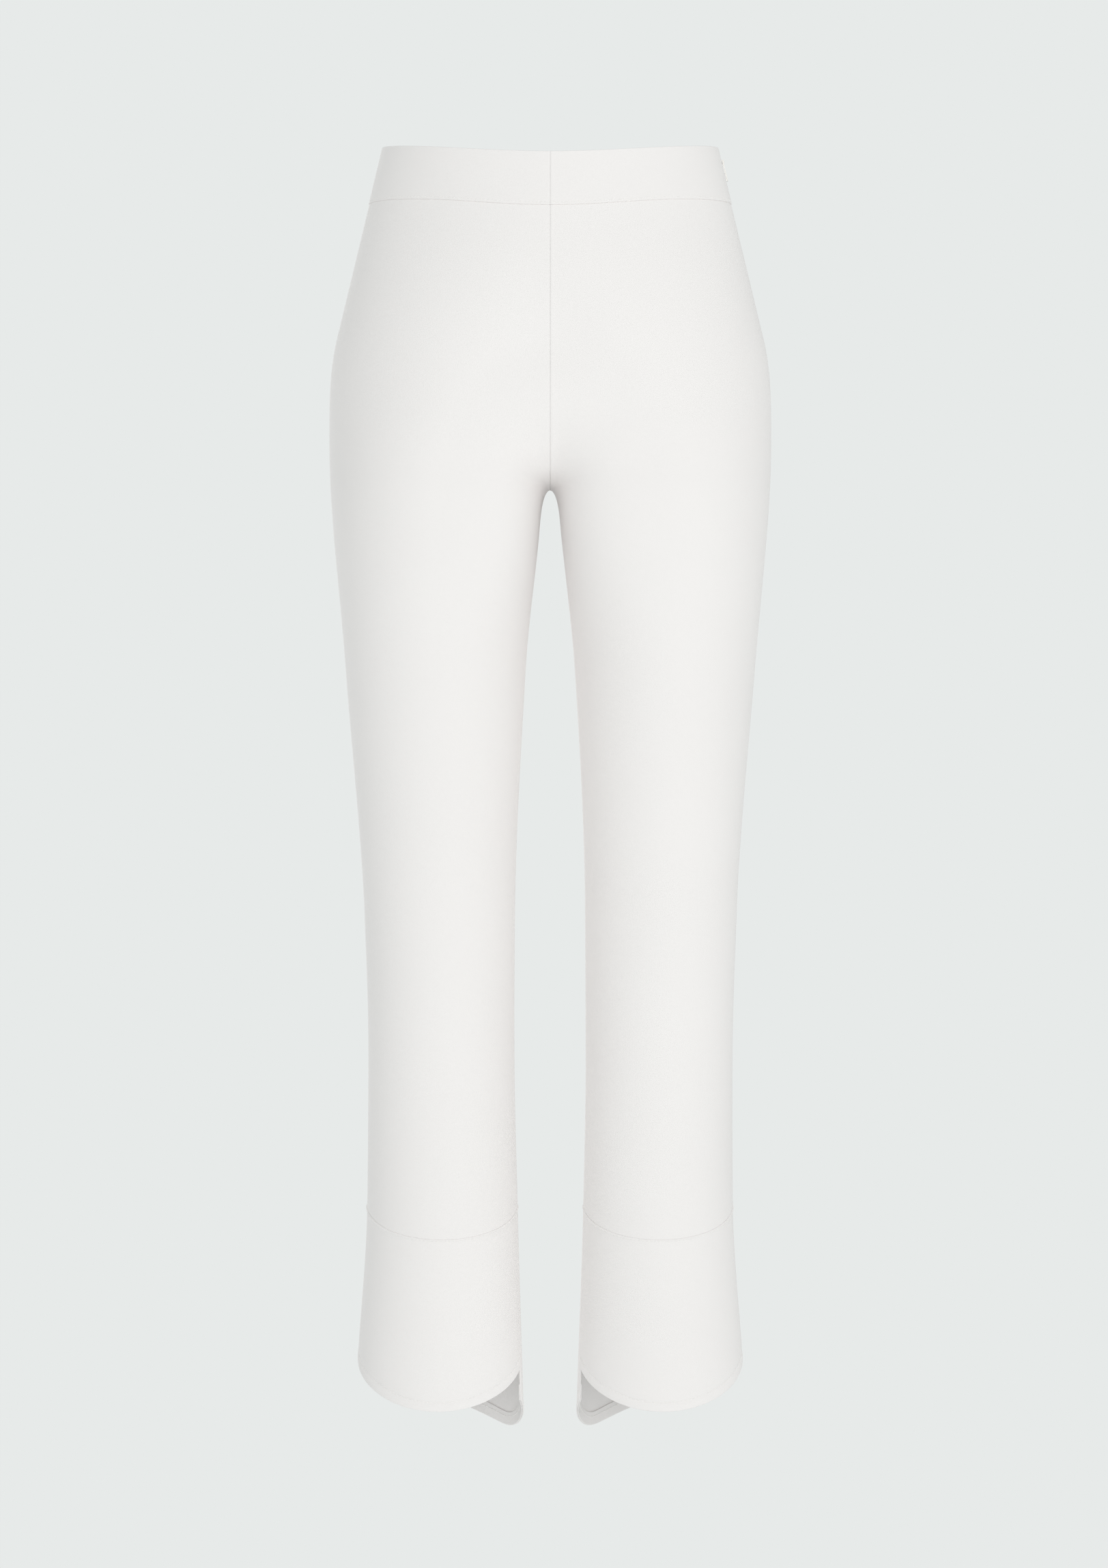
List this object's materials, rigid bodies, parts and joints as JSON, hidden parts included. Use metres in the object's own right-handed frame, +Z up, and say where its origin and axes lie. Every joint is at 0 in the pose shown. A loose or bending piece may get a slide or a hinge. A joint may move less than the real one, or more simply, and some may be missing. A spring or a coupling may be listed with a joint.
{
  "type": "slim stretch trousers",
  "caption": "Slim cropped stretch trousers with a shaped waistband, invisible side zip, curved lower-leg seam and a hem that dips at the inner back.",
  "frame": {"origin": "middle of the waist opening, level with the waistband's top edge at the side seams", "axes": "+Z up, towards the waist; +X towards the wearer's left; the wearer faces -Y, so +Y is the back"},
  "size_m": [0.3432, 0.2252, 0.9997],
  "materials": {
    "twill": "matte off-white stretch twill",
    "waistband_twill": "matte off-white stretch twill, fused and firm",
    "facing": "matte off-white twill, wrong side",
    "ribbon": "satin ribbon",
    "zip_tape": "fine knitted polyester tape",
    "zip_nylon": "satin nylon coil",
    "zip_enamel": "off-white baked enamel",
    "hook_steel": "nickel-plated, satin",
    "label": "blank printed satin"
  },
  "bodies": {
    "trousers": {"front_panel_left": "twill", "front_cuff_left": "twill", "front_hem_facing_left": "facing", "waistband_front_left": "waistband_twill", "waistband_facing_front_left": "facing", "front_panel_right": "twill", "front_cuff_right": "twill", "front_hem_facing_right": "facing", "waistband_front_right": "waistband_twill", "waistband_facing_front_right": "facing", "zip_tape_front": "zip_tape", "zip_coil_front": "zip_nylon", "back_panel_left": "twill", "back_cuff_left": "twill", "back_hem_facing_left": "facing", "waistband_back_left": "waistband_twill", "waistband_facing_back_left": "facing", "back_panel_right": "twill", "back_cuff_right": "twill", "back_hem_facing_right": "facing", "waistband_back_right": "waistband_twill", "waistband_facing_back_right": "facing", "zip_tape_back": "zip_tape", "zip_coil_back": "zip_nylon", "zip_bottom_stop": "zip_nylon", "waist_hook": "hook_steel", "waist_bar": "hook_steel", "hanger_loop_left": "ribbon", "hanger_loop_right": "ribbon", "care_label": "label"},
    "zip_slider": {"zip_slider": "zip_enamel"},
    "zip_pull": {"zip_pull": "zip_enamel"}
  },
  "joints": [
    {"name": "zip_slide", "type": "slide", "parent": "trousers", "child": "zip_slider", "axis": [0.2363, 0.0528, -0.9702], "range_m": [0, 0.1295]},
    {"name": "zip_pull_hinge", "type": "hinge", "parent": "zip_slider", "child": "zip_pull", "pos_m": [0.13381, -0.00243, -0.01012], "axis": [0.0125, -0.9986, -0.0513], "range_deg": [0, 150]}
  ]
}
